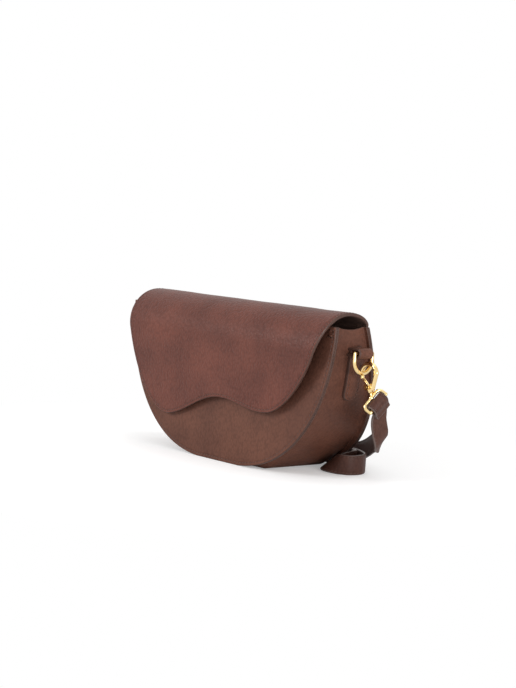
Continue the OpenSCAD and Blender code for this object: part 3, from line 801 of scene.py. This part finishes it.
# Strap. A metre of hide 16 mm wide and 2.2 mm thick with painted edges, sewn 1.7 mm in.
# Each end is folded back round the swivel's eye and sewn down. It goes
# down from the right hook in a twist, lies folded behind the bag, comes round under the
# bag's right end in a loop, and goes up again to the left hook.
strap_calf = pebbled_calf("tumbled calf, strap", "452c26", "52362d", 0.46, 0.00016)
strap_edge = bpy.data.materials.new("strap edge paint")
strap_edge.use_nodes = True
tree = strap_edge.node_tree
shader = tree.nodes["Principled BSDF"]
place = add(tree, "ShaderNodeTexCoord").outputs["Object"]
streak = add(tree, "ShaderNodeTexNoise", {"Vector": place, "Scale": 1 / 0.003, "Detail": 2})
coat = add(tree, "ShaderNodeMix", {}, data_type="RGBA")
tree.links.new(streak.outputs["Fac"], coat.inputs[0])
coat.inputs[6].default_value = paint("483732")
coat.inputs[7].default_value = paint("5f4f49")
tree.links.new(coat.outputs[2], shader.inputs["Base Color"])
shader.inputs["Roughness"].default_value = 0.4
STRAP_W, STRAP_T, REACH = 16.0, 2.2, 30.0
STRAP_SEAM_IN = 1.7
# The middle of the right eye's bar, and the turns about Z, Y and X that the eye hangs in
eye_bar = Vector((142.553, -5.221, 63.990))
eye_turn = Matrix.Rotation(math.radians(35.8), 3, "Z") @ Matrix.Rotation(math.radians(33.2), 3, "Y")
eye_turn = eye_turn @ Matrix.Rotation(math.radians(60.76), 3, "X")
end_turn = eye_turn @ Matrix.Rotation(math.radians(-34.6), 3, "Y")


def hung(x, z):
    """A place in the folded end's own plane, with the way of the strap's width"""
    return list(eye_bar + end_turn @ Vector((x, 0, z))) + list(end_turn @ Vector((0, 1, 0)))


def laid(*s):
    """A place given as shares of the bag's half width, half depth and height"""
    return [s[0] * HALF_W, s[1] * HALF_D, STRAP_W / 2 + s[2] * RIM, s[3], s[4], s[5]]


def eased(rows, steps=12):
    """A smooth curve through places"""
    rows = np.array(rows, float)
    rows = np.vstack([2 * rows[0] - rows[1], rows, 2 * rows[-1] - rows[-2]])
    out = []
    for a, b, c, d in zip(rows, rows[1:], rows[2:], rows[3:]):
        for k in range(steps):
            t = k / steps
            square = (2 * a - 5 * b + 4 * c - d) * t**2
            cube = (3 * b - a - 3 * c + d) * t**3
            out.append((2 * b + (c - a) * t + square + cube) / 2)
    return np.array(out + [rows[-2]])


# Spacing of the folded runs, and how far back the first one lies
RUN_GAP = 8.1
RUN_BACK = HALF_D * 1.69


def turned_back(x, run, side):
    """One turn of the folded strap on the floor, seen from above"""
    turn = []
    for a in np.radians(np.arange(0, 181, 10)):
        y = RUN_BACK - RUN_GAP * (run + 0.5 - math.cos(a) / 2)
        turn.append([x + side * RUN_GAP / 2 * math.sin(a), y, STRAP_W / 2, 0, 0, 1])
    return turn


def drifted(reach, drift):
    """A place down the hanging end, let out a little from under the fold"""
    row = hung(-STRAP_T / 2, -reach)
    return [row[0] - drift * STRAP_T / 2, row[1] - drift * STRAP_T / 2] + row[2:]


drop = [drifted(0, 0), drifted(REACH / 5, 0), drifted(REACH / 2.6, 1)]
for s in ((-0.21, 0.278, -0.471, 0.1, 0.72, 0.68), (-0.252, 0.376, -0.701, 0.1, 0.74, 0.66)):
    drop.append([eye_bar[k] + REACH * s[k] for k in range(3)] + list(s[3:]))
drop += [
    laid(1.073, 0.209, 0.243, 0.1, 0.7, 0.7),
    laid(1.055, 0.281, 0.209, 0.12, 0.66, 0.74),
    laid(1.021, 0.376, 0.189, 0.12, 0.6, 0.79),
    laid(0.948, 0.595, 0.171, 0.08, 0.3, 0.95),
    laid(0.856, 0.821, 0.158, 0, 0.05, 1),
    laid(0.76, 1, 0.138, 0, 0, 1),
    laid(0.672, 1.155, 0.1, 0, 0, 1),
]
landing = [
    laid(0.576, 1.321, 0.062, 0, 0, 1),
    laid(0.472, 1.476, 0.029, 0, 0, 1),
    laid(0.352, 1.602, 0.008, 0, 0, 1),
    laid(0.208, 1.681, 0.002, 0, 0, 1),
    laid(0, 1.69, 0, 0, 0, 1),
]
under = [
    laid(0.432, 1.129, 0, 0, 0, 1),
    laid(0.56, 1.11, 0, 0, 0, 1),
    laid(0.648, 1.024, 0, 0, 0, 1),
    laid(0.72, 0.893, 0, 0, 0, 1),
    laid(0.768, 0.714, 0, 0, 0, 1),
    laid(0.782, 0.524, 0, 0, 0, 1),
    laid(0.765, 0.357, 0, 0, 0, 1),
    laid(0.724, 0.269, 0, 0, 0.1, 1),
    laid(0.668, 0.257, -0.004, 0, 0.45, 0.89),
    laid(0.608, 0.3, -0.015, 0.1, 0.75, 0.66),
    laid(0.562, 0.405, -0.018, 0.4, 0.65, 0.64),
    laid(0.549, 0.548, -0.016, 0.7, 0.2, 0.68),
    laid(0.57, 0.69, -0.01, 0.6, -0.3, 0.74),
    laid(0.618, 0.812, 0.001, 0.1, -0.2, 0.97),
    laid(0.618, 0.95, 0.001, 0, 0, 1),
    laid(0.568, 1.032, 0, 0, 0, 1),
    laid(0.496, 1.048, 0, 0, 0, 1),
    laid(0.24, 1.045, 0, 0, 0, 1),
    laid(-0.16, 1.045, 0.001, 0, 0, 1),
    laid(-0.416, 1.045, 0.008, 0, 0, 1),
    laid(-0.56, 1.062, 0.042, 0, 0, 1),
]
mirrored = [[-r[0], r[1], r[2], -r[3], r[4], r[5]] for r in drop[::-1]]
# The fold round the eye: up the outer layer, over the bar and down again
FOLD_R = 2.85
fold = [(1.15, -9.4), (1.15, -8.4), (1.15, -7.2), (1.3, -6), (1.95, -3.6), (2.65, -1.6)]
for a in np.arange(0, 181, 20):
    # It stands off the bar a little on the side of the swivel
    r = FOLD_R + 0.9 * math.exp(-(((a - 135) / 45) ** 2))
    fold.append((r * math.cos(math.radians(a)), r * math.sin(math.radians(a))))
fold += [(-3.0, -1.6), (-2.1, -3.6), (-1.35, -6), (-1.12, -8)]
fold = np.array([hung(x, z) for x, z in fold])
went = eased(drop + landing)
# The fold gives way to the hanging strap at this distance from the eye's bar
FOLD_REACH = 9.5
clear = np.argmax(np.linalg.norm(went[:, :3] - np.array(eye_bar), axis=1) > FOLD_REACH)
went = np.vstack([fold, went[clear:], turned_back(-90, 0, -1)[1:], turned_back(8, 1, 1)[:1]])
came = eased(under + mirrored)
left_bar = np.array(eye_bar) * (-1, 1, 1)
clear = np.argmax(np.linalg.norm(came[:, :3] - left_bar, axis=1) < FOLD_REACH)
left_fold = fold[::-1] * (-1, 1, 1, -1, 1, 1)
came = np.vstack([turned_back(8, 1, 1), turned_back(-60, 2, -1), came[:clear], left_fold])
strip, kinds = flat_strip(STRAP_W, STRAP_T)
ROW_STEP = 1.1
for side, sign, route in (("right", 1, went), ("left", -1, came)):
    length = np.linalg.norm(np.diff(route[:, :3], axis=0), axis=1).sum()
    rows = even(route, int(length / ROW_STEP))
    coats = [strap_calf, strap_edge]
    half = swept(f"{side}_strap_half", rows[:, :3], rows[:, 3:], strip, kinds, coats)
    # Two places on the hanging strap, in metres, which nothing below uses
    low = Vector((sign * 134.7, 6.9, 41.2)) / 1000
    high = Vector((sign * 136.6, 3.0, 50.0)) / 1000
    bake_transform(half)
    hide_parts("strap", f"{side}_strap_end")
    ways = np.gradient(rows[:, :3], axis=0)
    ways /= np.linalg.norm(ways, axis=1)[:, None]
    wide = rows[:, 3:] - ways * (rows[:, 3:] * ways).sum(1)[:, None]
    wide /= np.linalg.norm(wide, axis=1)[:, None]
    outs = np.cross(wide, -ways)
    for n, (across_it, facing) in enumerate(((-1, 1), (1, 1), (-1, -1), (1, -1))):
        beside = wide * across_it * (STRAP_W / 2 - STRAP_SEAM_IN)
        line = rows[:, :3] + beside + outs * facing * (STRAP_T / 2 - 0.1)
        sewn = stitches(f"{side}_strap_seam_{n}", line, outs * facing, radius=0.25)
        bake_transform(sewn)

# Lining, slip pocket and base board, inside. The lining is plain-woven cotton in a warm
# grey brown; the board is pressed fibre under it.
cotton = bpy.data.materials.new("plain-woven cotton lining")
cotton.use_nodes = True
tree = cotton.node_tree
shader = tree.nodes["Principled BSDF"]
place = add(tree, "ShaderNodeTexCoord").outputs["Object"]
# Threads 0.5 mm apart, at the wave texture's own measure
threads = {"Vector": place, "Scale": 1 / 0.0005 / 6.28}
warp_way = add(tree, "ShaderNodeTexWave", threads, bands_direction="X")
weft_way = add(tree, "ShaderNodeTexWave", threads, bands_direction="Z")
cloth = add(
    tree,
    "ShaderNodeMath",
    {0: warp_way.outputs["Fac"], 1: weft_way.outputs["Fac"]},
    operation="MULTIPLY",
)
yarn = add(tree, "ShaderNodeMix", {}, data_type="RGBA")
tree.links.new(cloth.outputs[0], yarn.inputs[0])
yarn.inputs[6].default_value = paint("4f4036")
yarn.inputs[7].default_value = paint("7a6656")
tree.links.new(yarn.outputs[2], shader.inputs["Base Color"])
weave = add(tree, "ShaderNodeBump", {"Height": cloth.outputs[0], "Distance": 0.00015, "Strength": 0.6})
tree.links.new(weave.outputs[0], shader.inputs["Normal"])
shader.inputs["Roughness"].default_value = 0.85
for name in ("front_lining", "back_lining", "gusset_lining", "slip_pocket"):
    solids[name].data.materials.clear()
    solids[name].data.materials.append(cotton)
fibre = bpy.data.materials.new("pressed fibre board")
fibre.use_nodes = True
tree = fibre.node_tree
shader = tree.nodes["Principled BSDF"]
place = add(tree, "ShaderNodeTexCoord").outputs["Object"]
fleck = add(tree, "ShaderNodeTexNoise", {"Vector": place, "Scale": 1 / 0.001, "Detail": 3})
pulp = add(tree, "ShaderNodeMix", {}, data_type="RGBA")
tree.links.new(fleck.outputs["Fac"], pulp.inputs[0])
pulp.inputs[6].default_value = paint("332e2b")
pulp.inputs[7].default_value = paint("4a433e")
tree.links.new(pulp.outputs[2], shader.inputs["Base Color"])
shader.inputs["Roughness"].default_value = 0.9
solids["base_board"].data.materials.clear()
solids["base_board"].data.materials.append(fibre)

# Fittings. Cast zinc, polished and plated pale gold, with a very fine orange peel left
# in the polish: rings, hooks, gates, eyes, and the magnetic button and its washer.
gilt = bpy.data.materials.new("polished pale gold plating")
gilt.use_nodes = True
tree = gilt.node_tree
shader = tree.nodes["Principled BSDF"]
place = add(tree, "ShaderNodeTexCoord").outputs["Object"]
peel = add(tree, "ShaderNodeTexNoise", {"Vector": place, "Scale": 1 / 0.002, "Detail": 2})
tone = add(tree, "ShaderNodeMix", {}, data_type="RGBA")
tree.links.new(peel.outputs["Fac"], tone.inputs[0])
tone.inputs[6].default_value = paint("ecc988")
tone.inputs[7].default_value = paint("f6dfab")
tree.links.new(tone.outputs[2], shader.inputs["Base Color"])
satin = add(
    tree,
    "ShaderNodeMapRange",
    {"Value": peel.outputs["Fac"], "To Min": 0.07, "To Max": 0.15},
)
tree.links.new(satin.outputs["Result"], shader.inputs["Roughness"])
dimple = add(tree, "ShaderNodeBump", {"Height": peel.outputs["Fac"], "Distance": 0.00003, "Strength": 0.3})
tree.links.new(dimple.outputs[0], shader.inputs["Normal"])
shader.inputs["Metallic"].default_value = 1
for name in ("magnet_socket", "socket_washer", "magnet_stud"):
    solids[name].data.materials.clear()
    solids[name].data.materials.append(gilt)
for side in ("right", "left"):
    for part in ("d_ring", "hook", "gate", "gate_pin", "swivel_eye"):
        solids[f"{side}_{part}"].data.materials.clear()
        solids[f"{side}_{part}"].data.materials.append(gilt)

# Flap. One piece of hide 1.8 mm thick on a 1 mm lining leather: its tail is sewn to the
# back panel, it folds up at the rim, rolls over the mouth and hangs in front, with a waved
# lower edge whose left lobe is the deeper one.
flap_calf = pebbled_calf("tumbled calf, flap", "57322a", "663b31", 0.4, 0.00045)
FLAP_T, TAIL_T = 2.8, 1.8
# The middle of the roll front to back, its top inside, how far it rises above the rim,
# its radius in front and its reach to the back
ROLL_Y, ROLL_Z, ROLL_RISE, ROLL_R, ROLL_BACK = -20.0, 128.4, 8.4, 28.3, 18.3
FLAP_GAP = 1.9


def over_the_top():
    """The flap's outer face from the end of the tail to below the lowest lobe"""
    path = [(back_y(z) + TAIL_T, z) for z in np.linspace(99.3, 118, 10)]
    for a in np.linspace(12, 90, 34):
        a = math.radians(a)
        y = ROLL_Y + (ROLL_BACK + FLAP_T) * math.cos(a)
        path.append((y, RIM + (ROLL_RISE + FLAP_T) * math.sin(a)))
    for a in np.linspace(2, 90, 44):
        a = math.radians(a)
        r = ROLL_R + FLAP_T
        path.append((ROLL_Y - r * math.sin(a), ROLL_Z - ROLL_R + r * math.cos(a)))
    low = 20.0
    path.append((front_y(low) - FLAP_GAP - FLAP_T, low))
    return even(path, 700)


top_path = over_the_top()
top_run = np.r_[0, np.cumsum(np.linalg.norm(np.diff(top_path, axis=0), axis=1))]
top_way = np.gradient(top_path, axis=0)
top_way /= np.linalg.norm(top_way, axis=1)[:, None]
top_out = np.stack([top_way[:, 1], -top_way[:, 0]], 1)
front_part = top_run > top_run[top_path[:, 1].argmax()]


def run_at(z):
    """How far down the front of the flap a height lies, along the leather"""
    return np.interp(-np.asarray(z, float), -top_path[front_part, 1], top_run[front_part])


def flap_edge():
    """The front's outline from the roll's right end to its left end, in x and z"""
    a = np.radians(np.linspace(0, 90, 160))
    right = np.stack([62 + 59 * np.cos(a) ** 1.25, 127 - 79 * np.sin(a) ** 1.25], 1)
    wave = np.linspace(62, -62, 240)[1:-1]
    middle = np.stack([wave, 39.5 + 8.5 * wave / 62 + 6.5 * (1 + np.cos(np.pi * wave / 62))], 1)
    left = np.stack([-62 - 54 * np.cos(a) ** (2 / 1.9), 127 - 96 * np.sin(a) ** (2 / 1.9)], 1)
    return np.vstack([right, middle, left[::-1]])


edge = flap_edge()
edge = np.stack([edge[:, 0], run_at(edge[:, 1])], 1)
fold_run = run_at(127)
right_corner = np.argmin(np.hypot(edge[:, 0] - 88, edge[:, 1] - run_at(61)))
left_corner = np.argmin(np.hypot(edge[:, 0] + 86, edge[:, 1] - run_at(36)))
WIDE, DEEP = 120, 96
tail = [(-114.5, 0), (118.5, 0)]
right_side = np.vstack([[(118.5, 0), (121, 12), (121, fold_run - 2)], edge[: right_corner + 1]])
left_side = np.vstack([edge[left_corner:], [(-116, fold_run - 2), (-116, 12), (-114.5, 0)]])
bag_flap = np.vstack(
    [
        even(tail, WIDE)[:-1],
        even(right_side, DEEP)[:-1],
        even(edge[right_corner : left_corner + 1], WIDE)[:-1],
        even(left_side, DEEP)[:-1],
    ]
)
# The outline is drawn with its run upwards, as the others are
bag_flap[:, 1] *= -1
points, gap, faces, border = cut_piece(bag_flap, WIDE, DEEP, EDGE_RINGS)
x, s = points[:, 0], np.clip(-points[:, 1], 0, top_run[-1])
thick = np.interp(s, [18, 26], [TAIL_T, FLAP_T])


def on_flap(x, s, proud):
    """A place on the flap's outer face, across it and along it, and how far it stands out"""
    y, z = (
        np.interp(s, top_run, top_path[:, k]) + np.interp(s, top_run, top_out[:, k]) * proud
        for k in (0, 1)
    )
    return np.stack([x, y, z], 1)


calm = np.clip(gap / 25, 0, 1) * np.clip((s - 25) / 20, 0, 1)
proud = 0.45 * ripple(x, s, 48, 1.3) * calm + 0.12 * ripple(x, s, 14, 4.2) * calm
face = on_flap(x, s, proud - sewn_dip(gap, SEAM_IN))
reverse = on_flap(x, s, proud - thick)
coats = [flap_calf, edge_paint, flesh_side]
flap = bead_edge("flap_hide", face, reverse, faces, border, 0.5, coats)
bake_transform(flap)
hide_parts("flap_tail", "flap_leather", "flap_lining")
seam = inner_loop(bag_flap, SEAM_IN)
seam = np.vstack([seam, seam[:1]])
line = on_flap(seam[:, 0], -seam[:, 1], -0.1)
normals = on_flap(seam[:, 0], -seam[:, 1], 0.9) - line
sewn = stitches("flap_seam", line, normals)
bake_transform(sewn)

size = {"cad": [list(map(float, c)) for c in cad_box], "visual": [list(map(float, c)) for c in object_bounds()]}
